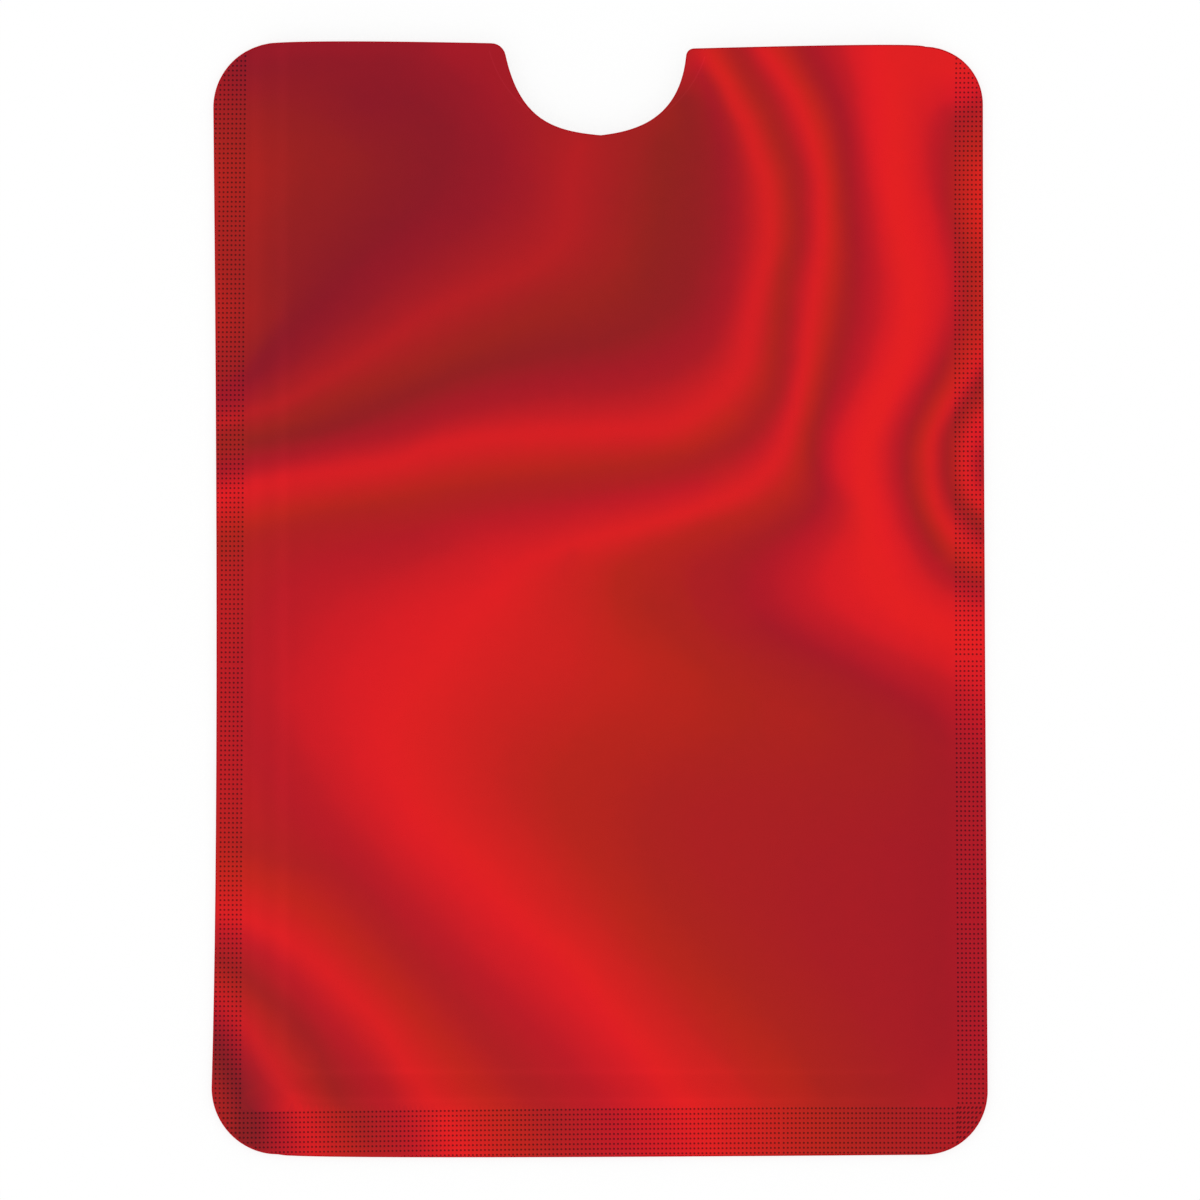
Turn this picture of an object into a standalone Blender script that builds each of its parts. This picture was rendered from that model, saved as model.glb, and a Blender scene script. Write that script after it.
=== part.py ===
# Card sleeve: two foil laminate webs, welded face to face along three margins and open at the mouth.
# It lies on its back wall: +X is to the right of its front, +Y towards the mouth, +Z out of the front.
# The outline is drawn from the pocket: X from its centre line, Y up from the foot weld's inner line.

import math

import bmesh
import bpy
from mathutils import Vector

MM = 0.001

# The card that the pocket is made for, and its play
CARD_WIDTH = 53.98 * MM
CARD_LENGTH = 85.60 * MM
CARD_THICKNESS = 0.76 * MM
SIDE_PLAY = 0.38 * MM
END_PLAY = 0.22 * MM
FACE_PLAY = 0.14 * MM

# Plies of each web, and the glue line or contact gap that parts them
FILM = 0.06 * MM
SHIELD = 0.03 * MM
LINER = 0.07 * MM
BOND_GAP = 0.015 * MM

# Flank that lifts the front web from the welds to its panel
SIDE_FLANK = 1.55 * MM
FOOT_FLANK = 1.30 * MM
FOOT_SEAT_SHARE = 0.75  # how far down the foot's flank the card's edge can slide
PANEL_CORNER = 1.20 * MM

# Welded margins, from the pocket's straight lines out to the trimmed edge
LEFT_WELD_TOP = 2.66 * MM
LEFT_WELD_FOOT = 2.80 * MM
RIGHT_WELD_TOP = 2.26 * MM
RIGHT_WELD_FOOT = 2.65 * MM
FOOT_WELD_LEFT = 3.85 * MM
FOOT_WELD_RIGHT = 3.88 * MM
WELD_GAP = 0.05 * MM

# Trimmed edge: a rounding at each corner, and how far each side stands proud of a straight line
TOP_LEFT_CORNER = 5.28 * MM
TOP_RIGHT_CORNER = 4.71 * MM
FOOT_LEFT_CORNER = 5.44 * MM
FOOT_RIGHT_CORNER = 5.20 * MM
LEFT_HOLLOW = 0.34 * MM
RIGHT_HOLLOW = 0.04 * MM
FOOT_CROWN = 0.23 * MM
MOUTH_LEFT_CROWN = 0.12 * MM
MOUTH_RIGHT_CROWN = 0.18 * MM
MOUTH_SLANT = 0.33 * MM  # the right corner is this much lower than the left one
LEFT_BEND_SHARE = 0.70
RIGHT_BEND_SHARE = 0.75
FOOT_BEND_SHARE = 0.02
MOUTH_LEFT_BEND_SHARE = 0.76
MOUTH_RIGHT_BEND_SHARE = 0.02

# Thumb notch of the front web
NOTCH_DEPTH = 7.55 * MM
NOTCH_LEFT = 8.92 * MM
NOTCH_RIGHT = 7.61 * MM
LEFT_LIP = 1.20 * MM
RIGHT_LIP = 0.64 * MM
LEFT_LIP_DROP = 0.05 * MM
RIGHT_LIP_DROP = 0.48 * MM
LEFT_LEAN = 12.3  # degrees off upright, at the lip
RIGHT_LEAN = 5.9
LEFT_FLOOR_SLOPE = 5.0  # degrees off level, at the notch's lowest point
RIGHT_FLOOR_SLOPE = 6.1
LEFT_SIDE_PULL_SHARE = 0.735
LEFT_FLOOR_PULL_SHARE = 0.42
RIGHT_SIDE_PULL_SHARE = 0.62
RIGHT_FLOOR_PULL_SHARE = 0.485

# Plain thumb arc of the back web, just clear of the notch
BACK_ARC_WIDTH = 18.0 * MM
BACK_ARC_SHIFT = 0.20 * MM
BACK_ARC_SETBACK = 0.05 * MM

# Facets of the curves, and the least distance between two points of an outline
CORNER_STEPS = 12
EDGE_STEPS = 14
LIP_STEPS = 6
NOTCH_STEPS = 20
BACK_ARC_STEPS = 36
FLANK_STEPS = 6
FLANK_CORNER_STEPS = 8
SIDE_STEPS = 6
FOOT_STEPS = 5
LEAST_SPACING = 0.01 * MM
SAME_POINT = 0.0001 * MM

HALF_POCKET = CARD_WIDTH / 2 + SIDE_PLAY + SIDE_FLANK
POCKET_DEPTH = CARD_LENGTH + FOOT_FLANK * FOOT_SEAT_SHARE + END_PLAY
PANEL_RISE = CARD_THICKNESS + FACE_PLAY - BOND_GAP
CORNER_TOP = FOOT_FLANK + PANEL_CORNER  # where the pocket's rounded foot corners meet its straight sides

# Heights of the plies' undersides in the margin, from the surface that the sleeve lies on
BACK_SHIELD_BASE = FILM + BOND_GAP
BACK_LINER_BASE = BACK_SHIELD_BASE + SHIELD + BOND_GAP
FRONT_LINER_BASE = BACK_LINER_BASE + LINER + BOND_GAP
FRONT_SHIELD_BASE = FRONT_LINER_BASE + LINER + BOND_GAP
FRONT_FILM_BASE = FRONT_SHIELD_BASE + SHIELD + BOND_GAP
WELD = FRONT_LINER_BASE + LINER - BACK_LINER_BASE  # both liners, melted into one

RED_FILM = ((0.48, 0.015, 0.017), 0.28, 0.9)
BARE_FOIL = ((0.80, 0.80, 0.82), 0.30, 1.0)
MILKY_LINER = ((0.78, 0.77, 0.74), 0.45, 0.0)
MELTED_LINER = ((0.70, 0.67, 0.63), 0.55, 0.0)


def clear_scene():
    for item in list(bpy.data.objects):
        bpy.data.objects.remove(item, do_unlink=True)


def steps(count):
    return [i / count for i in range(count + 1)]


def arc(centre, radii, start, end, count):
    """Points of an elliptic arc, between two angles in degrees."""
    turns = [math.radians(start + (end - start) * t) for t in steps(count)]
    return [centre + Vector((radii.x * math.cos(a), radii.y * math.sin(a))) for a in turns]


def rounding(centre, radius, start, end, count=CORNER_STEPS):
    return arc(centre, Vector((radius, radius)), start, end, count)


def crowned(start, end, rise, bend_share):
    """A trimmed side, bowed by its rise to the right of its direction, which is outwards here."""
    along = end - start
    outwards = Vector((along.y, -along.x)).normalized()
    bend = start + along * bend_share + outwards * rise * 2
    return [start.lerp(bend, t).lerp(bend.lerp(end, t), t) for t in steps(EDGE_STEPS)]


def swept(start, start_pull, end_pull, end):
    """A cubic curve between two points, each with the pull that its end is drawn out by."""
    near, far = start + start_pull, end + end_pull
    return [
        start * (1 - t) ** 3 + near * 3 * t * (1 - t) ** 2 + far * 3 * t ** 2 * (1 - t) + end * t ** 3
        for t in steps(NOTCH_STEPS)
    ]


def towards(angle, length):
    return Vector((math.cos(math.radians(angle)), math.sin(math.radians(angle)))) * length


def joined(*lines):
    """Lines end to end, without the points that lie on the one before."""
    points = []
    for point in (p for line in lines for p in line):
        if not points or (point - points[-1]).length > LEAST_SPACING:
            points.append(point)
    return points


# The centres of the trimmed blank's four rounded corners
TOP_LEFT = Vector((-HALF_POCKET - LEFT_WELD_TOP + TOP_LEFT_CORNER, POCKET_DEPTH - TOP_LEFT_CORNER))
TOP_RIGHT = Vector((
    HALF_POCKET + RIGHT_WELD_TOP - TOP_RIGHT_CORNER,
    POCKET_DEPTH - MOUTH_SLANT - TOP_RIGHT_CORNER,
))
FOOT_LEFT = Vector((-HALF_POCKET - LEFT_WELD_FOOT + FOOT_LEFT_CORNER, FOOT_LEFT_CORNER - FOOT_WELD_LEFT))
FOOT_RIGHT = Vector((HALF_POCKET + RIGHT_WELD_FOOT - FOOT_RIGHT_CORNER, FOOT_RIGHT_CORNER - FOOT_WELD_RIGHT))
RIGHT_LIP_START = Vector((NOTCH_RIGHT, POCKET_DEPTH - RIGHT_LIP_DROP))
LEFT_LIP_START = Vector((-NOTCH_LEFT, POCKET_DEPTH - LEFT_LIP_DROP))


def mouth_edges():
    """The mouth's two trimmed edges, right and left of the thumb cut, each run towards -X."""
    right = crowned(
        TOP_RIGHT + towards(90, TOP_RIGHT_CORNER), RIGHT_LIP_START, MOUTH_RIGHT_CROWN, MOUTH_RIGHT_BEND_SHARE
    )
    left = crowned(
        LEFT_LIP_START, TOP_LEFT + towards(90, TOP_LEFT_CORNER), MOUTH_LEFT_CROWN, MOUTH_LEFT_BEND_SHARE
    )
    return right, left


def notch_cut():
    """The front web's notch, from the right lip down to its soft point and up to the left lip."""
    lowest = Vector((0, POCKET_DEPTH - NOTCH_DEPTH))
    right_lip = rounding(RIGHT_LIP_START - towards(90, RIGHT_LIP), RIGHT_LIP, 90, 180 - RIGHT_LEAN, LIP_STEPS)
    left_lip = rounding(LEFT_LIP_START - towards(90, LEFT_LIP), LEFT_LIP, LEFT_LEAN, 90, LIP_STEPS)
    right = swept(
        right_lip[-1],
        towards(-90 - RIGHT_LEAN, NOTCH_DEPTH * RIGHT_SIDE_PULL_SHARE),
        towards(RIGHT_FLOOR_SLOPE, NOTCH_RIGHT * RIGHT_FLOOR_PULL_SHARE),
        lowest,
    )
    left = swept(
        lowest,
        towards(180 - LEFT_FLOOR_SLOPE, NOTCH_LEFT * LEFT_FLOOR_PULL_SHARE),
        towards(LEFT_LEAN - 90, NOTCH_DEPTH * LEFT_SIDE_PULL_SHARE),
        left_lip[0],
    )
    return joined(right_lip, right, left, left_lip)


def back_cut(right_edge, left_edge):
    """The back web's mouth edge with a plain arc bitten out, wider than the notch and as deep."""
    depth = NOTCH_DEPTH + BACK_ARC_SETBACK
    radius = (BACK_ARC_WIDTH ** 2 / 4 + depth ** 2) / (2 * depth)
    centre = Vector((-BACK_ARC_SHIFT, POCKET_DEPTH - depth + radius))
    middle = at(joined(right_edge, left_edge), centre.x)
    edge = joined(right_edge, [middle], left_edge)
    outside = [(p - centre).length > radius for p in edge]
    first, last = outside.index(False), len(edge) - outside[::-1].index(False)
    right = crossing(edge[first - 1], edge[first], centre, radius)
    left = crossing(edge[last], edge[last - 1], centre, radius)
    angles = [math.degrees(math.atan2(p.y - centre.y, p.x - centre.x)) % 360 for p in (right, left)]
    bite = rounding(centre, radius, angles[0], angles[1], BACK_ARC_STEPS)
    return joined(edge[:first], bite, edge[last:])


def crossing(outer, inner, centre, radius):
    """Where a straight step from outside a circle to inside it crosses the circle."""
    step, start = inner - outer, outer - centre
    half, rest = step.dot(start), start.dot(start) - radius ** 2
    return outer + step * ((-half - math.sqrt(half ** 2 - step.dot(step) * rest)) / step.dot(step))


def mouth_line(web):
    """A web's whole upper edge, from its right side over the mouth to its left side."""
    right, left = mouth_edges()
    edge = joined(right, notch_cut(), left) if web == "front" else back_cut(right, left)
    return joined(
        rounding(TOP_RIGHT, TOP_RIGHT_CORNER, 0, 90),
        edge,
        rounding(TOP_LEFT, TOP_LEFT_CORNER, 90, 180),
    )


def at(line, x):
    """The point of a line that runs towards -X, at one place across the sleeve."""
    for p, q in zip(line, line[1:]):
        if q.x <= x <= p.x and p.x > q.x:
            return Vector((x, p.y + (q.y - p.y) * (p.x - x) / (p.x - q.x)))
    return (line[0] if x > line[0].x else line[-1]).copy()


def between(line, start, end):
    """The stretch of such a line between two places across the sleeve."""
    inside = [p for p in line if end + LEAST_SPACING < p.x < start - LEAST_SPACING]
    return [at(line, start), *inside, at(line, end)]


def trimmed_run(mouth, inset=0):
    """The trimmed edge outside the welds: down the left, along the foot and up the right."""
    reach = HALF_POCKET + inset
    return joined(
        between(mouth, -reach, mouth[-1].x),
        crowned(mouth[-1], FOOT_LEFT - Vector((FOOT_LEFT_CORNER, 0)), -LEFT_HOLLOW, LEFT_BEND_SHARE),
        rounding(FOOT_LEFT, FOOT_LEFT_CORNER, 180, 270),
        crowned(
            FOOT_LEFT - towards(90, FOOT_LEFT_CORNER),
            FOOT_RIGHT - towards(90, FOOT_RIGHT_CORNER),
            FOOT_CROWN,
            FOOT_BEND_SHARE,
        ),
        rounding(FOOT_RIGHT, FOOT_RIGHT_CORNER, 270, 360),
        crowned(FOOT_RIGHT + Vector((FOOT_RIGHT_CORNER, 0)), mouth[0], -RIGHT_HOLLOW, RIGHT_BEND_SHARE),
        between(mouth, mouth[0].x, reach),
    )


def foot_line(side_inset, foot_inset):
    """The pocket's foot with its two rounded corners, inset from the weld's lines, run towards +X."""
    across = HALF_POCKET - SIDE_FLANK - PANEL_CORNER
    radii = Vector((PANEL_CORNER + SIDE_FLANK - side_inset, CORNER_TOP - foot_inset))
    left, right = Vector((-across, CORNER_TOP)), Vector((across, CORNER_TOP))
    left_arc = arc(left, radii, 180, 270, FLANK_CORNER_STEPS)
    right_arc = arc(right, radii, 270, 360, FLANK_CORNER_STEPS)
    level = [left_arc[-1].lerp(right_arc[0], t) for t in steps(FOOT_STEPS)]
    return left_arc + level[1:-1] + right_arc


def pocket_line(mouth, side_inset, foot_inset):
    """A line round the pocket, from the mouth down the left, along the foot and up to the mouth."""
    reach = HALF_POCKET - side_inset
    foot = foot_line(side_inset, foot_inset)
    left = [at(mouth, -reach).lerp(foot[0], t) for t in steps(SIDE_STEPS)]
    right = [foot[-1].lerp(at(mouth, reach), t) for t in steps(SIDE_STEPS)]
    return left[:-1] + foot + right[1:]


def level(points, height):
    return [Vector((p.x, p.y, height)) for p in points]


def flank_lines(mouth, base):
    """The front web's lines from the weld's edge up to its panel, along an S-shaped flank."""
    lines = []
    for t in steps(FLANK_STEPS):
        rise = PANEL_RISE * (1 - math.cos(math.pi * t)) / 2
        lines.append(level(pocket_line(mouth, SIDE_FLANK * t, FOOT_FLANK * t), base + rise))
    return lines


def raised_faces(mouth, base):
    """The front web inside the welds: its flank in strips, then its flat panel up to the mouth."""
    lines = flank_lines(mouth, base)
    faces = []
    for outer, inner in zip(lines, lines[1:]):
        for i in range(len(outer) - 1):
            faces.append([outer[i], outer[i + 1], inner[i + 1], inner[i]])
    panel = lines[-1]
    edge = between(mouth, panel[-1].x, panel[0].x)
    faces.append(panel + level(edge[1:-1], panel[0].z))
    return faces


def margin_face(mouth, base):
    """The front web's flat margin over the three welds."""
    inner = pocket_line(mouth, 0, 0)
    return level(trimmed_run(mouth) + inner[-2:0:-1], base)


def parted_at(run, height):
    """A run that goes down, along the foot and up again, parted at a height into its three stretches."""
    stretches = [[]]
    for p, q in zip(run, run[1:]):
        stretches[-1].append(p)
        if (p.y - height) * (q.y - height) < 0:
            cut = p.lerp(q, (height - p.y) / (q.y - p.y))
            stretches[-1].append(cut)
            stretches.append([cut])
    stretches[-1].append(run[-1])
    return [joined(stretch) for stretch in stretches]


def paint(name, look):
    colour, roughness, metallic = look
    material = bpy.data.materials.new(name)
    material.use_nodes = True
    shader = material.node_tree.nodes["Principled BSDF"]
    shader.inputs["Base Color"].default_value = (*colour, 1)
    shader.inputs["Roughness"].default_value = roughness
    shader.inputs["Metallic"].default_value = metallic
    material.diffuse_color = (*colour, 1)
    return material


def lay_ply(name, faces, thickness, look):
    """A closed sheet: the given underside, lifted by its thickness, and placed by the blank's centre."""
    mesh = bpy.data.meshes.new(name)
    sheet = bmesh.new()
    for face in faces:
        sheet.faces.new([sheet.verts.new(p) for p in face])
    bmesh.ops.remove_doubles(sheet, verts=sheet.verts[:], dist=SAME_POINT)
    lifted = bmesh.ops.extrude_face_region(sheet, geom=sheet.faces[:], use_keep_orig=True)
    top = [item for item in lifted["geom"] if isinstance(item, bmesh.types.BMVert)]
    bmesh.ops.translate(sheet, vec=Vector((0, 0, thickness)), verts=top)
    bmesh.ops.recalc_face_normals(sheet, faces=sheet.faces[:])
    sheet.to_mesh(mesh)
    sheet.free()
    mesh.materials.append(paint(name + "_finish", look))
    mesh.shade_smooth()
    mesh.set_sharp_from_angle(angle=math.radians(35))
    ply = bpy.data.objects.new(name, mesh)
    ply.location = -blank_centre()
    bpy.context.collection.objects.link(ply)
    return ply


def blank_centre():
    """The middle of the trimmed blank, which the sleeve is placed by."""
    mouth = mouth_line("front")
    points = trimmed_run(mouth) + mouth
    xs, ys = [p.x for p in points], [p.y for p in points]
    return Vector(((min(xs) + max(xs)) / 2, (min(ys) + max(ys)) / 2, 0))


def mouth_inside(mouth):
    """The mouth line's points between the two side welds, without its ends."""
    return between(mouth, HALF_POCKET, -HALF_POCKET)[1:-1]


def make_back_web():
    mouth = mouth_line("back")
    blank = joined(trimmed_run(mouth), mouth_inside(mouth))
    pocket = pocket_line(mouth, 0, 0)
    lining = joined(pocket, between(mouth, pocket[-1].x, pocket[0].x)[1:-1])
    lay_ply("back_film", [level(blank, 0)], FILM, RED_FILM)
    lay_ply("back_shield", [level(blank, BACK_SHIELD_BASE)], SHIELD, BARE_FOIL)
    lay_ply("back_liner", [level(lining, BACK_LINER_BASE)], LINER, MILKY_LINER)


def make_front_web():
    mouth = mouth_line("front")
    lay_ply("front_liner", raised_faces(mouth, FRONT_LINER_BASE), LINER, MILKY_LINER)
    shield = [margin_face(mouth, FRONT_SHIELD_BASE), *raised_faces(mouth, FRONT_SHIELD_BASE)]
    lay_ply("front_shield", shield, SHIELD, BARE_FOIL)
    film = [margin_face(mouth, FRONT_FILM_BASE), *raised_faces(mouth, FRONT_FILM_BASE)]
    lay_ply("front_film", film, FILM, RED_FILM)


def make_welds():
    """The three welds between the webs, parted from each other and from the liners by the weld gap."""
    reach = HALF_POCKET + WELD_GAP
    run = trimmed_run(mouth_line("front"), WELD_GAP)
    left, _, right = parted_at(run, CORNER_TOP + WELD_GAP)
    _, foot, _ = parted_at(run, CORNER_TOP)
    left_outline = left + [Vector((-reach, left[-1].y))]
    right_outline = right + [Vector((reach, right[0].y))]
    foot_outline = foot + foot_line(-WELD_GAP, -WELD_GAP)[::-1]
    for name, outline in (
        ("left_seal", left_outline),
        ("right_seal", right_outline),
        ("bottom_seal", foot_outline),
    ):
        lay_ply(name, [level(outline, BACK_LINER_BASE)], WELD, MELTED_LINER)


clear_scene()
make_back_web()
make_welds()
make_front_web()
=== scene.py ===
import math

import bmesh
import bpy
import numpy as np
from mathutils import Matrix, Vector, geometry
from mathutils.kdtree import KDTree


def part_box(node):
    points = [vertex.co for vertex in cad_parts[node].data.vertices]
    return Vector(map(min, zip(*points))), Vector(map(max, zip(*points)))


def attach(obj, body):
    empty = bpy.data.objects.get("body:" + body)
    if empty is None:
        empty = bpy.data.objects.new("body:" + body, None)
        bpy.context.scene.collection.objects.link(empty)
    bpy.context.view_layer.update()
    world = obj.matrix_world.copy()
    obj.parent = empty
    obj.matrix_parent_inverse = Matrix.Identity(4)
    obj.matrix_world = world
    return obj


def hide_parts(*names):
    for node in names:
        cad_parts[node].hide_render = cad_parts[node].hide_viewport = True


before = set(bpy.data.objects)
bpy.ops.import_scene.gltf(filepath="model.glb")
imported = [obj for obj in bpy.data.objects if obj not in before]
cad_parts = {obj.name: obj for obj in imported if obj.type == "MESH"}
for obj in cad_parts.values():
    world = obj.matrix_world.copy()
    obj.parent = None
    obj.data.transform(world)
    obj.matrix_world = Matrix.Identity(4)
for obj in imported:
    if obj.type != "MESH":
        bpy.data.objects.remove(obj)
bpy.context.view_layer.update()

# Everything up to the finished meshes is worked out in millimetres in the row's frame.
# Places read off the photograph are in its pixels, y down, and go through onSleeve.
picture = {"origin": (599.65, 599.5), "pixel": 0.081574, "side": 1200}
perMetre = 1000


def onSleeve(spots):
    return (np.asarray(spots, float) - picture["origin"]) * (picture["pixel"], -picture["pixel"])


def inPicture(places):
    return places / (picture["pixel"], -picture["pixel"]) + picture["origin"]


def boxOf(node):
    return [np.array(corner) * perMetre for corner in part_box(node)]


linerLow, linerHigh = boxOf("front_liner")
filmLow, filmHigh = boxOf("front_film")
plies = {
    "film": 0.06, "foil": 0.03, "liner": 0.07,
    "filmBase": filmLow[2], "foilBase": boxOf("front_shield")[0][2], "linerBase": linerLow[2],
}
pocket = {
    "centre": (linerLow[0] + linerHigh[0]) / 2, "half": (linerHigh[0] - linerLow[0]) / 2, "foot": linerLow[1],
    "inset": 0.25,  # the web lifts softly, just inside the welds
    "sideFlank": 3.3, "footFlank": 3.0, "corner": 2.2, "cornerSteps": 14, "halvings": 20,
    "rise": filmHigh[2] - plies["filmBase"] - plies["film"],
    "waves": 0.14,  # how far the panel dips under its dark bands
    "overrun": 0.2,  # how far its lines run on past the mouth
}
flankHalf, flankFoot = pocket["half"] - pocket["inset"], pocket["foot"] + pocket["inset"]
cornerSide = flankHalf - pocket["sideFlank"] - pocket["corner"]  # the rounded foot corners begin here
cornerTop = flankFoot + pocket["footFlank"] + pocket["corner"]

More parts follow.
